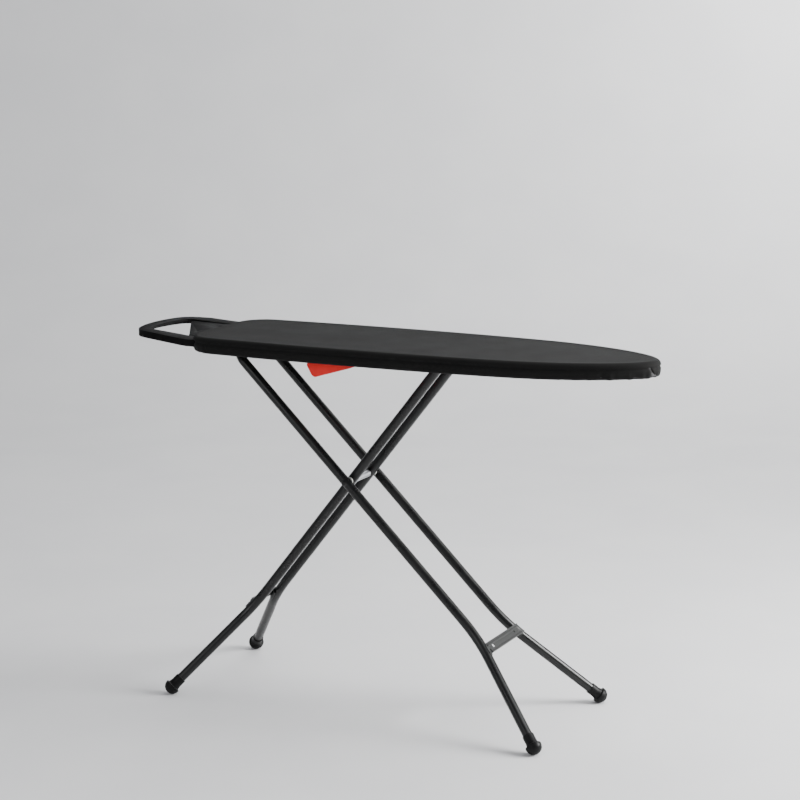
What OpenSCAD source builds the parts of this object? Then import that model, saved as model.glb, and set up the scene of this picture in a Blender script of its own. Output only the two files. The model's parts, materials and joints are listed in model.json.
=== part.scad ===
// Folding ironing board with a fixed iron rest.
// +X runs from the iron rest to the nose, +Y to the board's left, +Z up.
// The origin is on the floor, under the centre of the bounding box. Millimetres.

/* [Board] */
// Height of the ironing surface above the floor
board_top = 852.5; // [848:0.5:856]
// Full width of the covered board at its widest
board_w = 334; // [326:2:342]
// Thickness of the covered board at its edge
edge_t = 37; // [34:0.5:40]
// X of the board's straight butt end
butt_x = -466; // [-468:1:-464]
// X of the nose tip
nose_x = 642; // [638:1:648]
// Radius of the butt corners
butt_r = 75; // [70:1:80]
// Thickness of the fabric
fabric_t = 1.5; // [1:0.1:2]
// Thickness of the felt and foam pad
pad_t = 6; // [4:0.5:7]
// Thickness of the steel sheet parts
sheet_t = 1.2; // [0.8:0.1:1.6]
// Pitch of the vent holes in the top panel
vent_pitch = 34; // [30:1:44]

/* [Legs] */
// Outside diameter of the leg tubes
tube_d = 22; // [20:0.5:22.5]
// Wall of the leg tubes
tube_wall = 1.2; // [1:0.1:2]
// Height of the two top pivots
pivot_z = 812; // [811:0.5:812.5]
// X of the fixed top pivot of the outer leg
outer_pivot_x = -374.3; // [-376:0.1:-373]
// Slope of the outer leg below level
outer_slope = 44.43; // [43:0.01:46]
// Distance from the fixed pivot to the cross pivot
outer_arm = 405.9; // [403:0.1:408]
// Distance from the sliding pivot to the cross pivot
inner_arm = 364.4; // [362:0.1:367]
// Spacing of the outer tubes, centre to centre
outer_gauge = 140.7; // [140:0.1:146]
// Spacing of the inner tubes, centre to centre
inner_gauge = 90; // [86:0.5:90]
// Distance from the fixed pivot to the outer knee
outer_knee = 870.5; // [862:0.5:878]
// Distance from the sliding pivot to the inner knee
inner_knee = 776.5; // [770:0.5:784]
// Splay of the outer tubes below the knee
outer_splay = 24.4; // [22:0.1:27]
// Splay of the inner tubes below the knee
inner_splay = 31.2; // [28:0.1:33]
// Radius of the rubber feet
foot_r = 18.5; // [17:0.5:20]

/* [Iron rest] */
// X of the far end of the iron rest
rest_end_x = -642; // [-646:1:-638]
// Downward slope of the iron rest towards the board
rest_slope = 2; // [1.8:0.1:2.2]
// Depth of the iron rest's side walls
rest_depth = 16; // [14:0.5:17]

/* [Hidden] */
$fn = 48;

// Levels of the board's layers
fabric_z = board_top - fabric_t;
pad_z = fabric_z - pad_t;
panel_z = pad_z - sheet_t;
hem_z = board_top - edge_t;
rim_z = hem_z + 4.5;

// Insets of the layers from the covered outline
pad_in = 2;
rim_in = 3.5;
rim_lip = 14;

// Legs
tube_r = tube_d / 2;
bore_r = tube_r - tube_wall;
run = 0.06;
outer_y = outer_gauge / 2;
inner_y = inner_gauge / 2;
inner_slope = asin(outer_arm * sin(outer_slope) / inner_arm);
cross_x = outer_pivot_x + outer_arm * cos(outer_slope);
cross_z = pivot_z - outer_arm * sin(outer_slope);
slide_x = cross_x + inner_arm * cos(inner_slope);
fold_flat = 2.5;
flat_inner = asin(outer_arm * sin(fold_flat) / inner_arm);
slide_end_x = outer_pivot_x + outer_arm * cos(fold_flat) + inner_arm * cos(flat_inner);
top_bend_r = 38;
outer_bend_r = 250;
inner_bend_r = 175;
axle_r = 5;
slide_r = 4;
crossbar_w = 26;
foot_sleeve = 28;
foot_socket = 6;

// Guide rails and glide blocks
rail_y = 24;
rail_t = 2;
rail_x0 = slide_x - 54;
rail_x1 = slide_end_x + 21;
block_l = 26;
block_h = 12;
slot_gap = 3.6;

// Height lock
lever_x = -15;
lever_z = 826;
lever_y = -125;
lever_t = 14;
shaft_r = 4;
rack_t = 5;
rack_top = pivot_z + 3;
rack_l = 244;

// ---- Plan outline -------------------------------------------------------
// Three Bezier curves from the butt corner to the nose, as fractions of the
// half width, then mirrored.
half_w = board_w / 2;
butt_half_w = half_w * 0.95;
curve_a = [[butt_x + butt_r, butt_half_w], [-296, half_w * 0.978], [-191, half_w], [-86, half_w]];
curve_b = [[-86, half_w], [54, half_w], [195, half_w * 0.976], [335, half_w * 0.892]];
curve_c = [[335, half_w * 0.892], [488, half_w * 0.796], [nose_x, half_w * 0.395], [nose_x, 0]];

function bez(p, t) = pow(1 - t, 3) * p[0] + 3 * t * pow(1 - t, 2) * p[1]
                   + 3 * t * t * (1 - t) * p[2] + pow(t, 3) * p[3];
function bez_dir(p, t) = pow(1 - t, 2) * (p[1] - p[0]) + 2 * t * (1 - t) * (p[2] - p[1])
                       + t * t * (p[3] - p[2]);
function inset_point(p, t, d) =
    let (v = bez_dir(p, t), n = norm(v)) bez(p, t) + d / n * [v[1], -v[0]];
function corner(d) = [for (a = [180:-6:90])
    [butt_x + butt_r, butt_half_w - butt_r] + (butt_r - d) * [cos(a), sin(a)]];
function half_outline(d) = concat(corner(d),
    [for (i = [1:6]) inset_point(curve_a, i / 6, d)],
    [for (i = [1:8]) inset_point(curve_b, i / 8, d)],
    [for (i = [1:16]) inset_point(curve_c, i / 16, d)]);
function outline(d) = let (h = half_outline(d), n = len(h))
    concat(h, [for (i = [n - 2:-1:0]) [h[i][0], -h[i][1]]]);

module slab(d, z0, z1) {
    translate([0, 0, z0]) linear_extrude(z1 - z0) polygon(outline(d));
}

// ---- Board --------------------------------------------------------------
function half_width_at(x) = max([for (p = half_outline(30)) if (abs(p[0] - x) < 45) p[1]]);

module vents() {
    rows = 5;
    row_pitch = vent_pitch * 0.87;
    for (r = [-rows:rows], c = [-18:18]) {
        x = 90 + (c + (r % 2) / 2) * vent_pitch;
        y = r * row_pitch;
        if (x > butt_x + 40 && x < nose_x - 45 && abs(y) < half_width_at(x) - 22)
            translate([x, y]) circle(r = vent_pitch * 0.31, $fn = 6);
    }
}

module top_panel() {
    color("#2b2b2c") translate([0, 0, panel_z]) linear_extrude(sheet_t) difference() {
        polygon(outline(rim_in));
        vents();
    }
}

// The way through the cover and the rim for the arms of the iron rest
module butt_gap() {
    gap_half_w = 142;
    gap_l = 48;
    gap_z = board_top - rest_under - rest_depth - 0.8;
    translate([butt_x - 5, -gap_half_w, gap_z]) cube([gap_l, 2 * gap_half_w, panel_z - sheet_t - gap_z]);
}

module rim_frame() {
    color("#2b2b2c") difference() {
        slab(rim_in, rim_z, panel_z);
        slab(rim_lip, rim_z - 1, panel_z + 1);
        slab(rim_in + sheet_t, rim_z + sheet_t, panel_z - sheet_t);
        butt_gap();
    }
}

module rib_profile() {
    w = 22;
    h = 8;
    difference() {
        translate([-w / 2, -h]) square([w, h]);
        translate([-w / 2 + sheet_t, -h + sheet_t]) square([w - 2 * sheet_t, h]);
    }
    for (s = [-1, 1]) translate([s * (w / 2 + 4) - 4 - sheet_t / 2, -sheet_t])
        square([8 + sheet_t, sheet_t]);
}

module cross_rib(x, half_l) {
    translate([x, half_l, panel_z]) rotate([90, 0, 0]) linear_extrude(2 * half_l) rib_profile();
}

module cross_ribs() {
    color("#2b2b2c") {
        cross_rib(-270, 140);
        cross_rib(42, 148);
        cross_rib(480, 92);
    }
}

module guide_rail(side) {
    slot_r = block_h / 2 + slot_gap;
    slot_x0 = slide_x - block_l / 2 - 3;
    slot_x1 = slide_end_x + block_l / 2 + 3;
    web_z = pivot_z - slot_r - 2;
    color("#303031") difference() {
        union() {
            translate([rail_x0, side > 0 ? rail_y : -rail_y - rail_t, web_z])
                cube([rail_x1 - rail_x0, rail_t, panel_z - web_z]);
            translate([rail_x0, side > 0 ? rail_y : -rail_y - 14, panel_z - sheet_t])
                cube([rail_x1 - rail_x0, 14, sheet_t]);
        }
        translate([0, 40, 0]) rotate([90, 0, 0]) linear_extrude(80)
            translate([slot_x0, pivot_z - slot_r]) square([slot_x1 - slot_x0, 2 * slot_r]);
    }
}
module guide_rail_left() { guide_rail(1); }
module guide_rail_right() { guide_rail(-1); }

module pad() {
    color("#6f6d68") slab(pad_in, pad_z, fabric_z);
}

module cover() {
    hem_w = 20;
    color("#242424") difference() {
        slab(0, hem_z, board_top);
        slab(fabric_t, hem_z + fabric_t, fabric_z);
        slab(hem_w, hem_z - 1, hem_z + fabric_t + 1);
        butt_gap();
    }
}

module hem_elastic() {
    color("#e4e1da") difference() {
        slab(12, hem_z + fabric_t, hem_z + fabric_t + 1);
        slab(20, hem_z, hem_z + fabric_t + 2);
    }
}

// ---- Iron rest ----------------------------------------------------------
// Half widths of the frame and of its opening along X.
rest_outer = [[rest_end_x, 0], [rest_end_x + 1, 24], [rest_end_x + 4, 48], [rest_end_x + 9, 70],
              [rest_end_x + 15, 88], [rest_end_x + 22, 100], [rest_end_x + 34, 110], [-588, 118],
              [-562, 125], [-535, 128], [-510, 131], [-484, 134], [-462, 136], [-440, 136],
              [-424, 122], [-408, 110], [-340, 110]];
rest_inner = [[-613, 0], [-611, 42], [-606, 68], [-598, 79], [-585, 84], [-547, 87], [-494, 91],
              [-340, 91]];
rest_deck = 6;
rest_wall = 3;
rest_under = 10.3;
rest_screw_x = [-405, -360];
boss_y = 102;
boss_h = 18;
screw_r = 2.5;

// The top face along X: a gentle slope, then a dip that takes the arms under the panel
rest_top = concat([for (x = [rest_end_x, -530, -508]) [x, -(x - rest_end_x) * tan(rest_slope)]],
                  [[-482, -9], [-468, -rest_under], [-340, -rest_under]]);

module mirrored(half) {
    n = len(half);
    polygon(concat(half, [for (i = [n - 1:-1:0]) [half[i][0], -half[i][1]]]));
}

// The layer of the frame that lies from depth to depth + t below its top face
module rest_layer(depth, t) {
    n = len(rest_top);
    below = [for (i = [n - 1:-1:0]) rest_top[i] - [0, t]];
    translate([0, half_w, board_top - depth]) rotate([90, 0, 0]) linear_extrude(2 * half_w)
        polygon(concat(rest_top, below));
}

module rest_prism() { translate([0, 0, hem_z]) linear_extrude(edge_t + 1) children(); }

module rest_place() {
    translate([rest_end_x, 0, board_top]) rotate([0, rest_slope, 0]) translate([-rest_end_x, 0, 0])
        children();
}

module rest_screw_places() {
    for (x = rest_screw_x, s = [-1, 1]) translate([x, s * boss_y, panel_z - boss_h]) children();
}

module rest_wall_2d() {
    difference() {
        mirrored(rest_outer);
        mirrored([for (p = rest_outer) [p[0] > -345 ? p[0] + 5 : p[0] + rest_wall,
                                        max(0, p[1] - rest_wall)]]);
    }
}

module iron_rest() {
    color("#1b1b1c") difference() {
        union() {
            intersection() {
                rest_layer(0, rest_deck);
                rest_prism() difference() {
                    mirrored(rest_outer);
                    mirrored(concat(rest_inner, [[-330, 91]]));
                }
            }
            intersection() {
                rest_layer(0, rest_depth);
                rest_prism() rest_wall_2d();
            }
            rest_screw_places() cylinder(r = 7, h = boss_h);
        }
        rest_screw_places() translate([0, 0, -1]) cylinder(r = screw_r, h = boss_h + 2);
    }
}

module rest_screws() {
    color("#8d8f92") rest_screw_places() {
        cylinder(r = screw_r, h = boss_h);
        translate([0, 0, -2.5]) cylinder(r = 4.5, h = 2.5);
    }
}

rest_rivets = [[-503, -27], [-482, 44], [-482, -64]];
plate_drop = 4.2;
plate_t = 1.5;

module rest_plate() {
    color("#1f1f20") rest_place() translate([0, 0, -plate_drop - plate_t]) linear_extrude(plate_t)
        difference() {
            intersection() {
                mirrored([for (p = rest_inner) [p[0], max(0, p[1] - 0.03)]]);
                polygon([[-588, 95], [-581, 66], [-500, -67], [-484, -95], [-405, -95], [-405, 95]]);
            }
            for (p = rest_rivets) translate(p) circle(r = 1.6);
        }
}

module rest_plate_rivets() {
    color("#1f1f20") rest_place() for (p = rest_rivets) translate([p[0], p[1], -plate_drop]) {
        translate([0, 0, -plate_t]) cylinder(r = 1.6, h = plate_t);
        cylinder(r1 = 3.2, r2 = 2, h = 1);
    }
}

// ---- Fixed top pivot ----------------------------------------------------
seat_y = 18;
seat_r = tube_r + 5;

module pivot_bore() {
    rotate([90, 0, 0]) cylinder(r = tube_r + run, h = 100, center = true);
}

module strap_bolt_places() {
    for (sx = [-1, 1], sy = [-1, 1]) translate([sx * (seat_r + 7), sy * 9, 0]) children();
}

module pivot_seat() {
    color("#2b2b2c") translate([outer_pivot_x, 0, pivot_z]) difference() {
        union() {
            translate([-seat_r, -seat_y, 0]) cube([2 * seat_r, 2 * seat_y, panel_z - pivot_z]);
            translate([-seat_r - 14, -seat_y, 0]) cube([2 * seat_r + 28, 2 * seat_y, 8]);
        }
        pivot_bore();
        strap_bolt_places() translate([0, 0, -1]) cylinder(r = 2.5, h = 10);
    }
}

module pivot_strap() {
    color("#2b2b2c") translate([outer_pivot_x, 0, pivot_z]) difference() {
        union() {
            intersection() {
                rotate([90, 0, 0]) cylinder(r = seat_r - 2, h = 2 * seat_y, center = true);
                translate([-seat_r, -seat_y, -seat_r]) cube([2 * seat_r, 2 * seat_y, seat_r]);
            }
            translate([-seat_r - 14, -seat_y, -3]) cube([2 * seat_r + 28, 2 * seat_y, 3]);
        }
        pivot_bore();
        strap_bolt_places() translate([0, 0, -4]) cylinder(r = 2.5, h = 8);
    }
}

module strap_screws() {
    color("#8d8f92") translate([outer_pivot_x, 0, pivot_z]) strap_bolt_places() {
        translate([0, 0, -3]) cylinder(r = 2.5, h = 11);
        translate([0, 0, -6]) cylinder(r = 4.5, h = 3);
    }
}

// ---- Height lever -------------------------------------------------------
module lever_bracket(y) {
    translate([lever_x, y, 0]) difference() {
        union() {
            translate([-9, 0, lever_z]) cube([18, 3, panel_z - lever_z]);
            translate([0, 3, lever_z]) rotate([90, 0, 0]) cylinder(r = 9, h = 3);
            translate([-9, 0, panel_z - 2]) cube([18, 14, 2]);
        }
        translate([0, 20, lever_z]) rotate([90, 0, 0]) cylinder(r = shaft_r + run, h = 40);
    }
}
module lever_bracket_outer() { color("#303031") lever_bracket(-108); }
module lever_bracket_inner() { color("#303031") lever_bracket(12); }

module lever_paddle_2d() {
    difference() {
        hull() {
            translate([-143, 806]) circle(r = 5);
            translate([-127, 791]) circle(r = 11.5);
            translate([-38, 815]) circle(r = 9);
            translate([lever_x, lever_z]) circle(r = 9);
        }
        translate([lever_x, lever_z]) circle(r = shaft_r);
    }
}

module lever_handle() {
    color("#c21f1c") translate([0, lever_y + lever_t / 2, 0]) rotate([90, 0, 0])
        linear_extrude(lever_t) lever_paddle_2d();
}

module lever_shaft() {
    y0 = lever_y - lever_t / 2;
    color("#8d8f92") translate([lever_x, y0, lever_z]) rotate([-90, 0, 0])
        cylinder(r = shaft_r, h = 20 - y0);
}

module lock_pawl() {
    tip_z = rack_top + 5;
    color("#8d8f92") translate([0, rack_t / 2, 0]) rotate([90, 0, 0]) difference() {
        union() {
            translate([lever_x, lever_z, 0]) cylinder(r = 7, h = rack_t);
            linear_extrude(rack_t)
                polygon([[lever_x + 3, lever_z + 5], [lever_x + 3, lever_z - 5], [-50, lever_z - 5],
                         [-53, tip_z], [-59, tip_z], [-60, lever_z + 2]]);
        }
        translate([lever_x, lever_z, -1]) cylinder(r = shaft_r, h = rack_t + 2);
    }
}

// A tube of the given radius swept along points p, whose ends are flat
function sweep_ring(p, i, r, sides) =
    let (n = len(p), d = p[min(n - 1, i + 1)] - p[max(0, i - 1)], t = d / norm(d),
         a = cross(t, abs(t[1]) < 0.8 ? [0, 1, 0] : [0, 0, 1]), u = a / norm(a), v = cross(t, u))
    [for (k = [0:sides - 1]) p[i] + r * (cos(360 * k / sides) * u + sin(360 * k / sides) * v)];

module swept(p, r, sides) {
    n = len(p);
    polyhedron([for (i = [0:n - 1]) each sweep_ring(p, i, r, sides)],
        concat([[for (k = [sides - 1:-1:0]) k]], [[for (k = [0:sides - 1]) (n - 1) * sides + k]],
            [for (i = [0:n - 2], k = [0:sides - 1]) let (q = (k + 1) % sides)
                [i * sides + k, i * sides + q, (i + 1) * sides + q, (i + 1) * sides + k]]));
}

// Torsion spring around the shaft, between the handle and the outer bracket. One leg
// reaches up to the panel and the other lies beside the handle.
module lever_spring() {
    wire = 0.8;
    coil_r = 7;
    turns = 3;
    steps = 14;
    pitch = 2;
    panel_leg = panel_z - lever_z - wire - 0.3;
    coil = [for (i = [0:turns * steps]) let (a = 360 * i / steps)
        [coil_r * cos(a), pitch * i / steps, coil_r * sin(a)]];
    color("#b9bbbd") translate([lever_x, -116.2, lever_z])
        swept(concat([[coil_r, 0, -12]], [[coil_r, 0, -4]], coil, [[coil_r, pitch * turns, 6]],
                     [[coil_r, pitch * turns, panel_leg]]), wire, 8);
}

// ---- Legs ---------------------------------------------------------------
// A leg's own frame: X runs down the leg from its top pivot, Y stays level.
module outer_frame() {
    translate([outer_pivot_x, 0, pivot_z]) rotate([0, outer_slope, 0]) children();
}
module inner_frame() {
    translate([slide_x, 0, pivot_z]) rotate([0, 180 - inner_slope, 0]) children();
}

// A length of tube wall from p, heading ang degrees from the leg's own X
module pipe(p, ang, l) {
    translate([p[0], p[1], 0]) rotate([0, 0, ang]) rotate([0, 90, 0]) difference() {
        cylinder(r = tube_r, h = l);
        translate([0, 0, -1]) cylinder(r = bore_r, h = l + 2);
    }
}

// A bend of the same wall about the centre c
module elbow(c, bend_r, a0, sweep) {
    translate([c[0], c[1], 0]) rotate([0, 0, a0]) rotate_extrude(angle = sweep)
        translate([bend_r, 0]) difference() {
            circle(r = tube_r);
            circle(r = bore_r);
        }
}

// The fused seam between a bend and a straight length
module seam(p, ang) {
    skin = 0.02;
    translate([p[0], p[1], 0]) rotate([0, 0, ang]) rotate([0, 90, 0]) difference() {
        cylinder(r = tube_r + skin, h = 1, center = true);
        cylinder(r = bore_r - skin, h = 2, center = true);
    }
}

// Distance from the knee to the centre of the foot, which stands on the floor
function foot_reach(slope, knee, splay) = ((pivot_z - foot_r) / sin(slope) - knee) / cos(splay);
outer_reach = foot_reach(outer_slope, outer_knee, outer_splay);
inner_reach = foot_reach(inner_slope, inner_knee, inner_splay);

// Straight run, knee bend and splayed run of one tube, on the +Y side
module lower_tube(x0, y, knee, bend_r, splay, reach) {
    back = bend_r * tan(splay / 2);
    bend_x = knee - back;
    end = [bend_x + bend_r * sin(splay), y + bend_r * (1 - cos(splay))];
    pipe([x0, y], 0, bend_x - x0);
    seam([bend_x, y], 0);
    elbow([bend_x, y + bend_r], bend_r, -90, splay);
    seam(end, splay);
    pipe(end, splay, reach - back - foot_socket);
}

module across(x, r) {
    translate([x, 0, 0]) rotate([90, 0, 0]) cylinder(r = r, h = 200, center = true);
}

module outer_tube() {
    bar_y = outer_y - top_bend_r;
    color("#19191a") outer_frame() difference() {
        union() {
            pipe([0, -bar_y], 90, 2 * bar_y);
            for (s = [0, 1]) mirror([0, s, 0]) {
                elbow([top_bend_r, bar_y], top_bend_r, 90, 90);
                lower_tube(top_bend_r, outer_y, outer_knee, outer_bend_r, outer_splay, outer_reach);
            }
        }
        across(outer_arm, axle_r);
    }
}

function knee_end(knee, y, splay, l) = [knee + l * cos(splay), y + l * sin(splay)];

// Offset of a splayed tube's centre at a place inside its knee bend
function bend_y(x, y, knee, bend_r, splay) = let (s = knee - bend_r * tan(splay / 2))
    y + bend_r - sqrt(bend_r * bend_r - pow(x - s, 2));
function bend_angle(x, knee, bend_r, splay) = asin((x - knee + bend_r * tan(splay / 2)) / bend_r);

// Pressed channel section of the crossbars, resting on the tubes' crowns
module channel_2d(w) {
    rib = w * 0.16;
    difference() {
        translate([-w / 2, 0]) square([w, 5]);
        translate([-w / 2 + 2 * rib + 1, 1.6]) square([w - 4 * rib - 2, 5]);
        for (s = [-1, 1]) translate([s * (w / 2 - rib - 0.4) - 1.1, 3]) square([2.2, 3]);
        translate([-w / 2 + 2, -1]) square([w - 4, 1.8]);
    }
}

// The saddle that hugs the inner side of a tube's crown
module collar(x, y, ang) {
    reach = 20;
    translate([x, y, 0]) rotate([0, 0, ang]) rotate([0, 90, 0]) intersection() {
        cylinder(r = tube_r + 2, h = crossbar_w, center = true);
        translate([-reach, -reach, -reach]) cube([reach, reach + 3, 2 * reach]);
    }
}

// The space that a tube takes up in its knee bend
module bend_space(y, knee, bend_r, splay) {
    over = 6;
    translate([knee - bend_r * tan(splay / 2), y + bend_r, 0]) rotate([0, 0, -90 - over])
        rotate_extrude(angle = splay + 2 * over) translate([bend_r, 0]) circle(r = tube_r + run);
}

// A bar across a pair of legs, inside their knee bends
module crossbar(x, gauge_y, knee, bend_r, splay) {
    base = tube_r - 1;
    y = bend_y(x, gauge_y, knee, bend_r, splay);
    inner_half = y - 3;
    difference() {
        union() {
            translate([x, inner_half, base]) rotate([90, 0, 0]) linear_extrude(2 * inner_half)
                channel_2d(crossbar_w);
            for (s = [0, 1]) mirror([0, s, 0]) collar(x, y, bend_angle(x, knee, bend_r, splay));
        }
        translate([x - 3.5, -y + 24, 0]) cube([7, 7, 30]);
        translate([x, y - 30, 0]) cylinder(r = 3.2, h = 30);
        for (s = [0, 1]) mirror([0, s, 0]) bend_space(gauge_y, knee, bend_r, splay);
    }
}

outer_bar_x = 903.5;
inner_bar_x = 788.5;

module outer_crossbar() {
    color("#4a4c4b") outer_frame()
        crossbar(outer_bar_x, outer_y, outer_knee, outer_bend_r, outer_splay);
}

module foot(knee, y, splay, reach) {
    rim = 1.5;
    shoulder = 3.5;
    c = knee_end(knee, y, splay, reach);
    translate([c[0], c[1], 0]) rotate([0, 0, splay]) rotate([0, -90, 0]) rotate_extrude()
        difference() {
            union() {
                intersection() {
                    circle(r = foot_r);
                    translate([0, -foot_r - 1]) square([foot_r + 1, foot_r + 1]);
                }
                square([foot_r, rim]);
                polygon([[0, 0], [foot_r - 1, rim], [tube_r + 3.4, shoulder], [tube_r + 2, shoulder + 8],
                         [tube_r + 2, foot_sleeve], [0, foot_sleeve]]);
            }
            translate([0, foot_socket]) square([tube_r, foot_sleeve]);
            translate([-30, -30]) square([30, 90]);
        }
}
module outer_foot() { outer_frame() foot(outer_knee, outer_y, outer_splay, outer_reach); }
module inner_foot() { inner_frame() foot(inner_knee, inner_y, inner_splay, inner_reach); }
module outer_foot_left() { color("#151515") outer_foot(); }
module outer_foot_right() { color("#151515") mirror([0, 1, 0]) outer_foot(); }
module inner_foot_left() { color("#151515") inner_foot(); }
module inner_foot_right() { color("#151515") mirror([0, 1, 0]) inner_foot(); }

module cross_place() { translate([cross_x, 0, cross_z]) rotate([90, 0, 0]) children(); }

module ring(r_out, r_in, y0, y1) {
    for (s = [0, 1]) mirror([0, 0, s]) translate([0, 0, y0]) difference() {
        cylinder(r = r_out, h = y1 - y0);
        translate([0, 0, -1]) cylinder(r = r_in, h = y1 - y0 + 2);
    }
}

module cross_axle() {
    half_l = outer_y + tube_r;
    color("#5c5e60") cross_place() {
        cylinder(r = axle_r, h = 2 * half_l, center = true);
        for (s = [0, 1]) mirror([0, 0, s]) translate([0, 0, half_l]) cylinder(r1 = 7, r2 = 4.5, h = 2.5);
    }
}

module cross_washers() {
    color("#d9d9d6") cross_place()
        ring(10, axle_r + run, inner_y + tube_r + 0.15, outer_y - tube_r - 0.15);
}

tube_top = -14;

module inner_tube() {
    color("#19191a") inner_frame() difference() {
        lower_tube(tube_top, inner_y, inner_knee, inner_bend_r, inner_splay, inner_reach);
        across(inner_arm, axle_r + run);
        across(0, slide_r);
    }
}
module inner_tube_left() { inner_tube(); }
module inner_tube_right() { mirror([0, 1, 0]) inner_tube(); }

module inner_crossbar() {
    color("#2b2b2c") inner_frame() mirror([0, 0, 1])
        crossbar(inner_bar_x, inner_y, inner_knee, inner_bend_r, inner_splay);
}

module cross_spacer_plate() {
    half_l = inner_y - 7.5;
    color("#7d7f80") inner_frame() mirror([0, 0, 1])
        translate([inner_arm, half_l, 8.4]) rotate([90, 0, 0]) linear_extrude(2 * half_l)
            intersection() {
                channel_2d(22);
                translate([-11, 0]) square([22, 2.6]);
            }
}

module cross_sleeve() {
    color("#9a9c9e") cross_place() difference() {
        cylinder(r = 8, h = 2 * (inner_y - tube_r - 0.3), center = true);
        cylinder(r = axle_r + run, h = 100, center = true);
    }
}

module slide_place() { translate([slide_x, 0, pivot_z]) rotate([90, 0, 0]) children(); }

module slide_axle() {
    half_l = inner_y + tube_r;
    color("#8d8f92") slide_place() {
        cylinder(r = slide_r, h = 2 * half_l, center = true);
        for (s = [0, 1]) mirror([0, 0, s]) translate([0, 0, half_l]) cylinder(r1 = 7, r2 = 5, h = 1.5);
    }
}

module slide_washers() {
    color("#8d8f92") slide_place() ring(8, slide_r, 32, 33.5);
}

module tube_plugs() {
    color("#151515") inner_frame() for (s = [-1, 1]) translate([tube_top, s * inner_y, 0]) rotate([0, 90, 0]) {
        translate([0, 0, -2]) cylinder(r1 = tube_r - 1.5, r2 = tube_r, h = 2);
        cylinder(r = bore_r, h = 7);
    }
}

// ---- Slider -------------------------------------------------------------
module glide_blocks() {
    color("#d9d9d6") for (s = [0, 1]) mirror([0, s, 0])
        translate([slide_x, 0, pivot_z]) difference() {
            translate([-block_l / 2, 20, -block_h / 2]) cube([block_l, 11, block_h]);
            rotate([-90, 0, 0]) cylinder(r = slide_r + run, h = 60);
        }
}

module height_rack() {
    notch = 5;
    pitch = 24;
    x0 = slide_x - rack_l;
    color("#8d8f92") translate([0, rack_t / 2, 0]) rotate([90, 0, 0]) linear_extrude(rack_t)
        difference() {
            union() {
                translate([x0, rack_top - 10]) square([rack_l, 10]);
                translate([slide_x, pivot_z]) circle(r = 9);
            }
            translate([slide_x, pivot_z]) circle(r = slide_r + run);
            for (i = [0:7]) translate([x0 + 12 + pitch * i, rack_top - 4])
                polygon([[0, 0], [notch, 0], [notch + 4, 5], [0, 5]]);
        }
}

top_panel();
rim_frame();
cross_ribs();
guide_rail_left();
guide_rail_right();
pad();
cover();
hem_elastic();
iron_rest();
rest_plate();
rest_plate_rivets();
rest_screws();
pivot_seat();
pivot_strap();
strap_screws();
lever_bracket_outer();
lever_bracket_inner();
lever_handle();
lever_shaft();
lock_pawl();
lever_spring();
outer_tube();
outer_crossbar();
outer_foot_left();
outer_foot_right();
cross_axle();
cross_washers();
inner_tube_left();
inner_tube_right();
inner_crossbar();
cross_spacer_plate();
cross_sleeve();
inner_foot_left();
inner_foot_right();
slide_axle();
slide_washers();
tube_plugs();
glide_blocks();
height_rack();
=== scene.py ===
"""The looks of a folding ironing board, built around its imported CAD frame. Metres."""
import json
import math

import bmesh
import bpy
import numpy as np
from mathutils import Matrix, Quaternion, Vector


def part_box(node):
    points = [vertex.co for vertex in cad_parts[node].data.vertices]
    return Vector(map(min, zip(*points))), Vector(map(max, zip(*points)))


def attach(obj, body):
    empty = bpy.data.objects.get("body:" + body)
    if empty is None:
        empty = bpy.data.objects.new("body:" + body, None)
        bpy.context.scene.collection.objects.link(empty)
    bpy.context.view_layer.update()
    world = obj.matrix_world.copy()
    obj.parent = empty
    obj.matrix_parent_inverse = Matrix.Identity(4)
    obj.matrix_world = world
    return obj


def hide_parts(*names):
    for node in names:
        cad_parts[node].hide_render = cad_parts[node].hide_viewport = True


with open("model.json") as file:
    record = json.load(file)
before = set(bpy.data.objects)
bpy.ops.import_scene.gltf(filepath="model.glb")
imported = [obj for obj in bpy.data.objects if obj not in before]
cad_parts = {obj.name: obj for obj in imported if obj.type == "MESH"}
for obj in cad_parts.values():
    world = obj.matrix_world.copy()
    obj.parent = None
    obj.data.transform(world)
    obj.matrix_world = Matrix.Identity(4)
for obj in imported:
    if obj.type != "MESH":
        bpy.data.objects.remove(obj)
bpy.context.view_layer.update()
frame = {"nodes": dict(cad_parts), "record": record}
SLOTS = {s["node"]: s["material_slot"] for s in frame["record"]["subparts"]}
BODIES = {n: b for b, ns in frame["record"]["behaviour"]["bodies"].items() for n in ns}


# ---- Camera, stage and light ----------------------------------------------------------------
def add(obj):
    bpy.context.scene.collection.objects.link(obj)
    return obj


VIEW_YAW, VIEW_PITCH, VIEW_ROLL = (math.radians(a) for a in (27.34, 11.09, -0.48))


def make_camera():
    yaw, pitch, roll = VIEW_YAW, VIEW_PITCH, VIEW_ROLL
    back = Vector((math.sin(yaw) * math.cos(pitch), -math.cos(yaw) * math.cos(pitch),
                   math.sin(pitch)))
    camera = add(bpy.data.objects.new("camera", bpy.data.cameras.new("camera")))
    camera.data.lens = 95.3
    camera.data.sensor_width = 36
    camera.location = (2.185, -4.190, 1.640)
    camera.rotation_mode = "QUATERNION"
    camera.rotation_quaternion = (-back).to_track_quat("-Z", "Y") @ Quaternion((0, 0, 1), roll)
    bpy.context.scene.camera = camera


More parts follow.
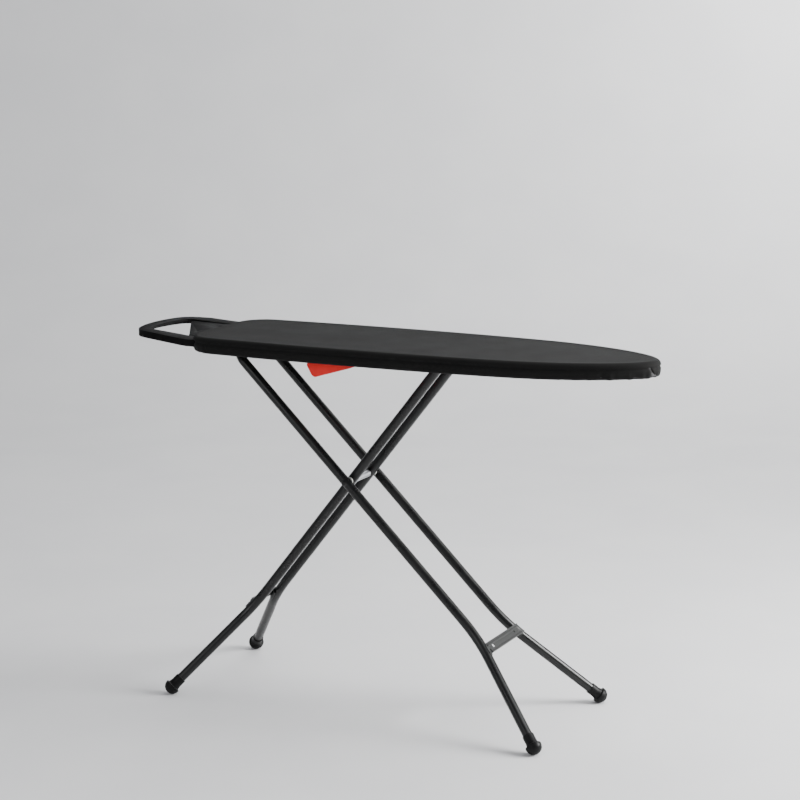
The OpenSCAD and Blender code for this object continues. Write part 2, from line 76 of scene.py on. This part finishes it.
def make_stage():
    """A pale floor that curves up into a backdrop behind the board."""
    half_width, front, wall_y, bend_r, height = 9.0, -8.0, 5.5, 2.5, 7.0
    profile = [(front, 0.0), (wall_y - bend_r, 0.0)]
    profile += [(wall_y - bend_r + bend_r * math.sin(a), bend_r - bend_r * math.cos(a))
                for a in np.linspace(0, math.pi / 2, 17)[1:]]
    profile.append((wall_y, height))
    turn = Quaternion((0, 0, 1), VIEW_YAW)
    verts = [turn @ Vector((x, y, z)) for y, z in profile for x in (-half_width, half_width)]
    faces = [(2 * i, 2 * i + 1, 2 * i + 3, 2 * i + 2) for i in range(len(profile) - 1)]
    mesh = bpy.data.meshes.new("backdrop")
    mesh.from_pydata(verts, [], faces)
    mesh.polygons.foreach_set("use_smooth", [True] * len(faces))
    floor = add(bpy.data.objects.new("backdrop", mesh))
    paper, tree, bsdf = new_material("backdrop_paper", (0.74, 0.74, 0.75), 0.8)
    speckle = noise(tree, 3.0, 3, 0.5)
    link_colour(tree, bsdf, speckle, (0.725, 0.727, 0.735), (0.755, 0.757, 0.76), 0.35, 0.65)
    mesh.materials.append(paper)


def area_light(name, place, target, size, power):
    lamp = bpy.data.lights.new(name, "AREA")
    lamp.shape = "RECTANGLE"
    lamp.size, lamp.size_y = size
    lamp.energy = power
    obj = add(bpy.data.objects.new(name, lamp))
    obj.location = place
    obj.rotation_mode = "QUATERNION"
    obj.rotation_quaternion = (Vector(target) - Vector(place)).to_track_quat("-Z", "Y")


def make_lights():
    centre = (0.0, 0.0, 0.6)
    area_light("key_right", (4.3, 1.3, 2.2), centre, (2.0, 2.4), 360)
    area_light("top_soft", (0.9, 1.4, 4.2), centre, (4.0, 3.4), 150)
    area_light("rim_right", (2.1, 1.0, 1.1), (0.3, 0.0, 0.6), (0.8, 1.4), 48)
    area_light("front_fill", (-1.5, -4.8, 2.6), centre, (3.5, 2.5), 60)
    area_light("backdrop_wash", (0.56, 4.79, 3.0), (-0.57, 5.89, 2.2), (1.6, 2.0), 130)
    world = bpy.data.worlds.new("studio")
    bpy.context.scene.world = world
    world.use_nodes = True
    world.node_tree.nodes["Background"].inputs["Color"].default_value = (0.92, 0.94, 1.0, 1)
    world.node_tree.nodes["Background"].inputs["Strength"].default_value = 0.30


# ---- Material building blocks ---------------------------------------------------------------
def new_material(name, colour, roughness):
    mat = bpy.data.materials.new(name)
    mat.use_nodes = True
    bsdf = mat.node_tree.nodes["Principled BSDF"]
    bsdf.inputs["Base Color"].default_value = (*colour, 1)
    bsdf.inputs["Roughness"].default_value = roughness
    return mat, mat.node_tree, bsdf


def coordinates(tree, scale=(1, 1, 1)):
    """Object coordinates, which are the row frame's metres on every piece."""
    source = tree.nodes.new("ShaderNodeTexCoord")
    mapping = tree.nodes.new("ShaderNodeMapping")
    mapping.inputs["Scale"].default_value = scale
    tree.links.new(source.outputs["Object"], mapping.inputs["Vector"])
    return mapping.outputs["Vector"]


def noise(tree, scale, detail=4, rough=0.55, stretch=(1, 1, 1)):
    node = tree.nodes.new("ShaderNodeTexNoise")
    node.inputs["Scale"].default_value = scale
    node.inputs["Detail"].default_value = detail
    node.inputs["Roughness"].default_value = rough
    tree.links.new(coordinates(tree, stretch), node.inputs["Vector"])
    return node.outputs["Fac"]


def ramp(tree, value, low, high, start, end):
    node = tree.nodes.new("ShaderNodeMapRange")
    for key, number in (("From Min", start), ("From Max", end), ("To Min", low), ("To Max", high)):
        node.inputs[key].default_value = number
    tree.links.new(value, node.inputs["Value"])
    return node.outputs["Result"]


def combine(tree, operation, a, b):
    node = tree.nodes.new("ShaderNodeMath")
    node.operation = operation
    for socket, value in zip(node.inputs, (a, b)):
        if isinstance(value, (int, float)):
            socket.default_value = value
        else:
            tree.links.new(value, socket)
    return node.outputs["Value"]


def link_colour(tree, bsdf, value, dark, light, start=0.3, end=0.7):
    node = tree.nodes.new("ShaderNodeMix")
    node.data_type = "RGBA"
    node.inputs["A"].default_value = (*dark, 1)
    node.inputs["B"].default_value = (*light, 1)
    tree.links.new(ramp(tree, value, 0, 1, start, end), node.inputs["Factor"])
    tree.links.new(node.outputs["Result"], bsdf.inputs["Base Color"])


def link_bump(tree, bsdf, height, strength, distance):
    node = tree.nodes.new("ShaderNodeBump")
    node.inputs["Strength"].default_value = strength
    node.inputs["Distance"].default_value = distance
    tree.links.new(height, node.inputs["Height"])
    tree.links.new(node.outputs["Normal"], bsdf.inputs["Normal"])


def threads(tree, pitch):
    """The height of a plain weave. The three axes' threads add up, so it shows on every side."""
    split = tree.nodes.new("ShaderNodeSeparateXYZ")
    tree.links.new(coordinates(tree), split.inputs["Vector"])
    total = None
    for axis in "XYZ":
        phase = combine(tree, "MULTIPLY", split.outputs[axis], 2 * math.pi / pitch)
        wave = combine(tree, "SINE", phase, 0.0)
        total = wave if total is None else combine(tree, "ADD", total, wave)
    return ramp(tree, total, 0, 1, -2.2, 2.2)


# ---- The object's materials -----------------------------------------------------------------
def cotton(name, dark, light, pitch=0.0009, rough=0.72, sheen=0.015):
    mat, tree, bsdf = new_material(name, dark, rough)
    bsdf.inputs["Specular IOR Level"].default_value = 0.05
    weave = threads(tree, pitch)
    cloudy = noise(tree, 9, 5, 0.6)
    lint = noise(tree, 420, 2, 0.5)
    link_colour(tree, bsdf, combine(tree, "ADD", combine(tree, "MULTIPLY", weave, 0.35),
                                    combine(tree, "MULTIPLY", cloudy, 0.65)), dark, light)
    tree.links.new(ramp(tree, cloudy, rough - 0.05, rough + 0.08, 0.3, 0.7),
                   bsdf.inputs["Roughness"])
    link_bump(tree, bsdf, combine(tree, "ADD", weave, combine(tree, "MULTIPLY", lint, 0.5)),
              0.35, 0.00025)
    bsdf.inputs["Sheen Weight"].default_value = sheen
    bsdf.inputs["Sheen Roughness"].default_value = 0.45
    return mat


def moulded(name, dark, light, rough, grain=900, shine=0.25):
    mat, tree, bsdf = new_material(name, dark, rough)
    bsdf.inputs["Specular IOR Level"].default_value = shine
    worn = noise(tree, 14, 6, 0.65)
    link_colour(tree, bsdf, worn, dark, light, 0.4, 0.75)
    tree.links.new(ramp(tree, worn, rough - 0.06, rough + 0.1, 0.35, 0.7),
                   bsdf.inputs["Roughness"])
    link_bump(tree, bsdf, noise(tree, grain, 3, 0.6), 0.3, 0.00018)
    return mat


def powder_coat(name, dark, light, rough, shine=0.3):
    """Baked paint: a fine orange peel, and faint rubbed streaks."""
    mat, tree, bsdf = new_material(name, dark, rough)
    bsdf.inputs["Specular IOR Level"].default_value = shine
    rubbed = noise(tree, 24, 6, 0.7)
    link_colour(tree, bsdf, rubbed, dark, light, 0.5, 0.8)
    tree.links.new(ramp(tree, rubbed, rough - 0.05, rough + 0.12, 0.35, 0.75),
                   bsdf.inputs["Roughness"])
    link_bump(tree, bsdf, noise(tree, 600, 2, 0.5), 0.22, 0.00015)
    return mat


def bare_metal(name, dark, light, rough, stretch=(1, 1, 1)):
    mat, tree, bsdf = new_material(name, dark, rough)
    drawn = noise(tree, 260, 4, 0.7, stretch)
    link_colour(tree, bsdf, drawn, dark, light)
    tree.links.new(ramp(tree, drawn, rough - 0.08, rough + 0.1, 0.3, 0.7),
                   bsdf.inputs["Roughness"])
    link_bump(tree, bsdf, drawn, 0.2, 0.0001)
    bsdf.inputs["Metallic"].default_value = 1.0
    return mat


def crossbar_paint(name, dark, light, rough):
    """Dark grey paint with painted shade in the outer bar's two pressed grooves: a near-black colour
    standing in for the shadow in them, found by the distance down the outer leg from its top pivot."""
    mat = powder_coat(name, dark, light, rough, 0.5)
    tree, bsdf = mat.node_tree, mat.node_tree.nodes["Principled BSDF"]
    split = tree.nodes.new("ShaderNodeSeparateXYZ")
    tree.links.new(coordinates(tree), split.inputs["Vector"])
    slope = math.radians(44.43)
    pivot_x, pivot_z, bar_distance = -0.3743, 0.812, 0.9035
    groove_offset, groove_core, groove_edge = 0.0084, 0.0010, 0.0017
    along = combine(tree, "ADD", combine(tree, "MULTIPLY", split.outputs["X"], math.cos(slope)),
                    combine(tree, "MULTIPLY", split.outputs["Z"], -math.sin(slope)))
    middle = bar_distance + pivot_x * math.cos(slope) - pivot_z * math.sin(slope)
    off = combine(tree, "ABSOLUTE", combine(tree, "SUBTRACT", along, middle), 0.0)
    groove = combine(tree, "ABSOLUTE", combine(tree, "SUBTRACT", off, groove_offset), 0.0)
    unshaded_share = ramp(tree, groove, 0, 1, groove_core, groove_edge)
    paint = bsdf.inputs["Base Color"].links[0].from_socket
    # painted shade: the paint is darkened to near black inside the two grooves, standing in for their
    # shadow
    groove_shade = tree.nodes.new("ShaderNodeMix")
    groove_shade.data_type = "RGBA"
    groove_shade.inputs["A"].default_value = (0.006, 0.006, 0.006, 1)
    tree.links.new(unshaded_share, groove_shade.inputs["Factor"])
    tree.links.new(paint, groove_shade.inputs["B"])
    tree.links.new(groove_shade.outputs["Result"], bsdf.inputs["Base Color"])
    return mat


MATERIALS = {
    "black_sheet_steel": powder_coat("black_sheet_steel", (0.016, 0.016, 0.017),
                                     (0.026, 0.026, 0.027), 0.5),
    "felt_pad": cotton("felt_pad", (0.24, 0.235, 0.22), (0.38, 0.37, 0.35), 0.0016, 0.92, 0.4),
    "black_cotton": cotton("black_cotton", (0.0085, 0.0085, 0.0085), (0.0145, 0.0145, 0.014)),
    "elastic": cotton("elastic", (0.55, 0.53, 0.49), (0.74, 0.72, 0.67), 0.0012, 0.8, 0.2),
    "black_moulded_plastic": moulded("black_moulded_plastic", (0.005, 0.005, 0.0052),
                                     (0.009, 0.009, 0.009), 0.58, 900, 0.05),
    "black_rest_plate": moulded("black_rest_plate", (0.005, 0.005, 0.0052),
                                (0.009, 0.009, 0.009), 0.6, 420, 0.06),
    "zinc_fasteners": bare_metal("zinc_fasteners", (0.42, 0.43, 0.45), (0.62, 0.63, 0.64), 0.38),
    "red_plastic": moulded("red_plastic", (0.80, 0.022, 0.018), (0.88, 0.030, 0.024), 0.36, 700, 0.2),
    "zinc_steel": bare_metal("zinc_steel", (0.40, 0.41, 0.43), (0.60, 0.61, 0.62), 0.4,
                             (0.15, 1, 1)),
    "spring_steel": bare_metal("spring_steel", (0.45, 0.46, 0.47), (0.66, 0.67, 0.68), 0.3),
    "black_leg_paint": powder_coat("black_leg_paint", (0.0028, 0.0028, 0.0029),
                                   (0.006, 0.006, 0.006), 0.29, 0.42),
    "black_crossbar_paint": crossbar_paint("black_crossbar_paint", (0.022, 0.023, 0.022),
                                           (0.038, 0.040, 0.038), 0.45),
    "black_foot_plastic": moulded("black_foot_plastic", (0.004, 0.004, 0.004),
                                  (0.009, 0.009, 0.009), 0.42, 500, 0.15),
    "nylon": moulded("nylon", (0.60, 0.60, 0.57), (0.74, 0.74, 0.71), 0.45, 500),
}


def dress(piece, body, slot, *stands_for):
    """Gives a new piece the material of its slot, puts it on its body, and hides the CAD nodes it
    stands for.
    """
    piece.data.materials.clear()
    piece.data.materials.append(MATERIALS[slot])
    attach(piece, body)
    if stands_for:
        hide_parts(*stands_for)
    return piece


# ---- The board's plan outline, read from the CAD cover ---------------------------------------
def cover_outline(count=1500, smoothing_passes=36):
    """Points around the covered board's edge, evenly spaced, and their outward normals. The
    board is about a third as wide as it is long, so y counts three times in the sort by angle."""
    co = np.array([v.co for v in frame["nodes"]["cover"].data.vertices])
    top = co[co[:, 2] > co[:, 2].max() - 1e-5][:, :2]
    top = np.unique(np.round(top, 6), axis=0)
    middle = np.array([(top[:, 0].min() + top[:, 0].max()) / 2, 0.0])
    ring = top[np.argsort(np.arctan2(top[:, 1] * 3, top[:, 0] - middle[0]))]
    closed = np.vstack([ring, ring[:1]])
    along = np.concatenate([[0], np.cumsum(np.linalg.norm(np.diff(closed, axis=0), axis=1))])
    at = np.linspace(0, along[-1], count, endpoint=False)
    points = np.stack([np.interp(at, along, closed[:, i]) for i in (0, 1)], axis=1)
    for _ in range(smoothing_passes):
        points = (np.roll(points, 1, 0) + 2 * points + np.roll(points, -1, 0)) / 4
    tangent = np.roll(points, -1, 0) - np.roll(points, 1, 0)
    tangent /= np.linalg.norm(tangent, axis=1)[:, None]
    return points, np.stack([tangent[:, 1], -tangent[:, 0]], axis=1)


EDGE, OUTWARD = cover_outline()
COVER_LO, COVER_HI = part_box("cover")
SPINE_FROM_BUTT, SPINE_FROM_NOSE = 0.12, 0.06


def spine(points):
    """The nearest points of the board's middle line."""
    x = np.clip(points[:, 0], COVER_LO.x + SPINE_FROM_BUTT, COVER_HI.x - SPINE_FROM_NOSE)
    return np.stack([x, np.zeros(len(x))], axis=1)


def ring_mesh(name, rings, fill_first=False, fill_last=False):
    """A mesh of rings of equal count, joined in order. A filled end is closed by a flat face."""
    count = len(rings[0])
    verts = [tuple(p) for ring in rings for p in ring]
    faces = []
    if fill_first:
        faces.append(tuple(range(count)))
    if fill_last:
        faces.append(tuple(range((len(rings) - 1) * count, len(rings) * count)))
    for r in range(len(rings) - 1):
        for i in range(count):
            j = (i + 1) % count
            faces.append((r * count + i, r * count + j, (r + 1) * count + j, (r + 1) * count + i))
    mesh = bpy.data.meshes.new(name)
    mesh.from_pydata(verts, [], faces)
    bm = bmesh.new()
    bm.from_mesh(mesh)
    bmesh.ops.remove_doubles(bm, verts=bm.verts, dist=2e-5)
    bmesh.ops.triangulate(bm, faces=[f for f in bm.faces if len(f.verts) > 4])
    bmesh.ops.recalc_face_normals(bm, faces=bm.faces)
    bm.to_mesh(mesh)
    bm.free()
    mesh.polygons.foreach_set("use_smooth", [True] * len(mesh.polygons))
    return add(bpy.data.objects.new(name, mesh))


def inset(d):
    """The board's edge moved in by d, one distance or one for each point."""
    return EDGE - OUTWARD * np.broadcast_to(np.asarray(d), (len(EDGE),))[:, None]


def level(points, z):
    return np.column_stack([points, np.broadcast_to(np.asarray(z), (len(points),))])


def drawn_in(d, share, z):
    """A ring at height z: the edge moved in by d, then a share of the way to the middle line."""
    flat = inset(d)
    return level(flat + share * (spine(flat) - flat), z)


# ---- Cover, pad and elastic ------------------------------------------------------------------
def gather_wave(depth):
    """How far the skirt's folds stand in, by place round the edge, stronger at the tight ends."""
    x, y = EDGE[:, 0], EDGE[:, 1]
    nose_start, nose_span = 0.40, 0.20
    butt_start, corner_start, fade = -0.39, 0.07, 0.05
    nose = np.clip((x - nose_start) / nose_span, 0, 1) ** 1.5
    butt = np.clip((butt_start - x) / fade, 0, 1) * np.clip((np.abs(y) - corner_start) / fade, 0, 1)
    strength = 0.10 + 0.9 * nose + 0.5 * butt
    turn = 2 * math.pi * np.linspace(0, 1, len(EDGE), endpoint=False)
    fold = (np.sin(turn * 61 + 1.1 * np.sin(turn * 5)) + 0.7 * np.sin(turn * 113 + 2.0)
            + 0.5 * np.sin(turn * 37 + 0.7) + 0.4 * np.sin(turn * 171 + 1.3 * np.sin(turn * 9))) / 2.6
    return depth * strength * (0.5 + 0.5 * fold)


def crease(place, width, amount, lean=0.0):
    """A pleat at a place on the edge. Lean moves it along the edge, away from the butt."""
    step = np.linalg.norm(np.roll(EDGE, -1, 0) - EDGE, axis=1).mean()
    index = int(np.argmin(np.linalg.norm(EDGE - np.array(place), axis=1)))
    away = (np.arange(len(EDGE)) - index + len(EDGE) // 2) % len(EDGE) - len(EDGE) // 2
    return amount * np.exp(-((away * step - lean) / width) ** 2)


def skirt_pleats(share):
    """The skirt's larger pleats, by how far down the skirt they are."""
    return (crease((0.6365, -0.034), 0.0026, 0.0052, 0.011 * share)
            + crease((0.612, -0.076), 0.004, 0.0016 * share)
            + crease((0.560, -0.112), 0.004, 0.0018 * share, -0.006 * share)
            + crease((-0.404, -0.158), 0.0022, 0.0030 * share, 0.004 * share)
            + crease((0.160, -0.164), 0.003, 0.0022 * share))


def make_cover():
    """One sheet of cloth: the top, its rounded edge, the gathered skirt and the hem below."""
    top, bottom = COVER_HI.z, COVER_LO.z
    edge_r, hem_r, hem_in = 0.011, 0.007, 0.0195
    skirt_in, fold_depth, lift_depth, lift_share = 0.0006, 0.0036, 0.0024, 0.6
    sag, sway, hem_rise, innermost, outermost = 0.0006, 0.0005, 0.0006, 0.6, 0.02
    rings = []
    for t in (innermost, 0.5, 0.4, 0.3, 0.22, 0.15, 0.1, 0.05, outermost):
        soft = sway * (innermost - t) / innermost * np.sin(EDGE[:, 0] * 9 + 1.3) * (t > outermost)
        rings.append(drawn_in(edge_r, t, top - sag * min(1, t / 0.2) + soft))
    for a in np.linspace(0, math.pi / 2, 9):
        rings.append(level(inset(edge_r * (1 - math.sin(a))), top - edge_r * (1 - math.cos(a))))
    side = top - edge_r - bottom - hem_r
    for share in np.linspace(0, 1, 12)[1:]:
        groove = 0.0016 * math.exp(-((share - 0.14) / 0.13) ** 2)
        bulge = -0.0012 * math.sin(math.pi * min(1, share * 0.9)) ** 2
        fold = gather_wave(fold_depth * share ** 1.3)
        pleats = skirt_pleats(share) * share ** 0.3
        rings.append(level(inset(skirt_in + groove + bulge + fold + pleats),
                           top - edge_r - side * share))
    base = gather_wave(fold_depth)
    lift = gather_wave(lift_depth) * lift_share
    for a in np.linspace(0, math.pi / 2, 5)[1:]:
        rings.append(level(inset(skirt_in + base + hem_r * (1 - math.cos(a))),
                           bottom + hem_r * (1 - math.sin(a)) + lift))
    for share in (0.4, 0.8, 1.0):
        d = hem_r + skirt_in + (hem_in - hem_r) * share
        rings.append(level(inset(d + base * (1 - share)), bottom + lift + hem_rise * share))
    piece = ring_mesh("fabric_cover", rings, fill_first=True)
    open_butt(piece)
    thicken = piece.modifiers.new("cloth_thickness", "SOLIDIFY")
    thicken.thickness = 0.0011
    thicken.offset = -1
    dress(piece, "board", SLOTS["cover"], "cover")
    area = 0.5 * abs(float((EDGE[:, 0] * np.roll(EDGE[:, 1], -1)
                            - EDGE[:, 1] * np.roll(EDGE[:, 0], -1)).sum()))
    length = float(np.linalg.norm(np.roll(EDGE, -1, 0) - EDGE, axis=1).sum())
    drop = (top - bottom) + hem_in
    cut = (COVER_HI.y - COVER_LO.y + 2 * drop, COVER_HI.x - COVER_LO.x + 2 * drop)
    return piece, cut, area + length * drop


def open_butt(piece):
    """Cuts the slot in the butt wall that the iron rest's frame comes out of."""
    half_width, reach, below_rest_top, below_panel = 0.139, 0.043, 0.0268, 0.0012
    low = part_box("iron_rest")[1].z - below_rest_top
    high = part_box("top_panel")[0].z - below_panel
    bm = bmesh.new()
    bm.from_mesh(piece.data)
    gone = []
    for f in bm.faces:
        c = f.calc_center_median()
        if c.x < COVER_LO.x + reach and abs(c.y) < half_width and low < c.z < high:
            gone.append(f)
    bmesh.ops.delete(bm, geom=gone, context="FACES")
    bm.to_mesh(piece.data)
    bm.free()


def make_pad():
    """Felt and foam between the panel and the cover, held flat, with soft rolled edges."""
    lo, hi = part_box("pad")
    half_t = (hi.z - lo.z) / 2
    middle = lo.z + half_t
    rim = 0.0095
    shares = (0.7, 0.4, 0.2)
    rings = [drawn_in(rim + half_t, t, lo.z) for t in shares]
    for a in np.linspace(-math.pi / 2, math.pi / 2, 9):
        rings.append(level(inset(rim + half_t - half_t * math.cos(a)),
                           middle + half_t * math.sin(a)))
    rings += [drawn_in(rim + half_t, t, hi.z) for t in reversed(shares)]
    piece = ring_mesh("felt_and_foam_pad", rings, fill_first=True, fill_last=True)
    return dress(piece, "board", SLOTS["pad"], "pad")


def make_elastic():
    """The flat elastic in the hem, gathered into small waves."""
    lo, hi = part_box("hem_elastic")
    gathers, wave_height, clearance = 105, 0.00035, 0.0002
    turn = np.linspace(0, 2 * math.pi, len(EDGE), endpoint=False)
    wave = wave_height * np.sin(turn * gathers)
    across = (0.0125, 0.0162, 0.0195)
    rings = [level(inset(d), lo.z + clearance + wave) for d in across]
    rings += [level(inset(d), hi.z - clearance + wave) for d in reversed(across)]
    rings.append(rings[0])
    piece = ring_mesh("gathered_elastic", rings)
    return dress(piece, "board", SLOTS["hem_elastic"], "hem_elastic")


cover, cover_cut, cover_area = make_cover()
elastic = make_elastic()
foam = make_pad()


# ---- Hard pieces: the CAD shapes with their edges eased ---------------------------------------
def eased(node, name, width, segments=3, angle=32):
    """A new piece of the CAD node's shape, with its sharp edges rounded by width."""
    mesh = frame["nodes"][node].data.copy()
    mesh.name = name
    bm = bmesh.new()
    bm.from_mesh(mesh)
    bmesh.ops.remove_doubles(bm, verts=bm.verts, dist=1e-6)
    bmesh.ops.dissolve_limit(bm, angle_limit=math.radians(0.8), verts=bm.verts, edges=bm.edges)
    bm.to_mesh(mesh)
    bm.free()
    mesh.polygons.foreach_set("use_smooth", [True] * len(mesh.polygons))
    piece = add(bpy.data.objects.new(name, mesh))
    bevel = piece.modifiers.new("eased_edges", "BEVEL")
    bevel.width = width
    bevel.segments = segments
    bevel.limit_method = "ANGLE"
    bevel.angle_limit = math.radians(angle)
    bevel.harden_normals = True
    bevel.use_clamp_overlap = True
    return dress(piece, BODIES[node], SLOTS[node], node)


def smooth_dip(piece):
    """Turns the kinked dip that takes the rest's arms under the panel into one soft curve."""
    x0, x1, under, straight = -0.572, -0.466, -0.0103, 0.45
    arms_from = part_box("iron_rest")[1].z - 0.04
    kink_x = (-0.642, -0.508, -0.482, -0.468, -0.34)
    kink_z = (0.0, -0.00468, -0.009, under, under)
    start = float(np.interp(x0, kink_x, kink_z))
    for v in piece.data.vertices:
        if x0 < v.co.x < x1 and v.co.z > arms_from:
            t = (v.co.x - x0) / (x1 - x0)
            soft = start + (under - start) * (straight * t + (1 - straight) * t * t * (3 - 2 * t))
            v.co.z += soft - float(np.interp(v.co.x, kink_x, kink_z))


EASED = {
    "iron_rest": ("iron_rest_frame", 0.0022, 4),
    "rest_plate": ("iron_rest_plate", 0.0004, 2),
    "lever_handle": ("height_lever_handle", 0.0028, 4),
    "glide_blocks": ("nylon_glide_blocks", 0.0008, 2),
    "pivot_seat": ("leg_pivot_seat", 0.0008, 2),
    "pivot_strap": ("leg_pivot_strap", 0.0008, 2),
}
for node_name, (piece_name, radius, steps) in EASED.items():
    fresh = eased(node_name, piece_name, radius, steps)
    if node_name == "iron_rest":
        smooth_dip(fresh)

for node_name, obj in frame["nodes"].items():
    if not obj.hide_render:
        obj.data.materials.clear()
        obj.data.materials.append(MATERIALS[SLOTS[node_name]])

make_stage()
make_lights()
make_camera()
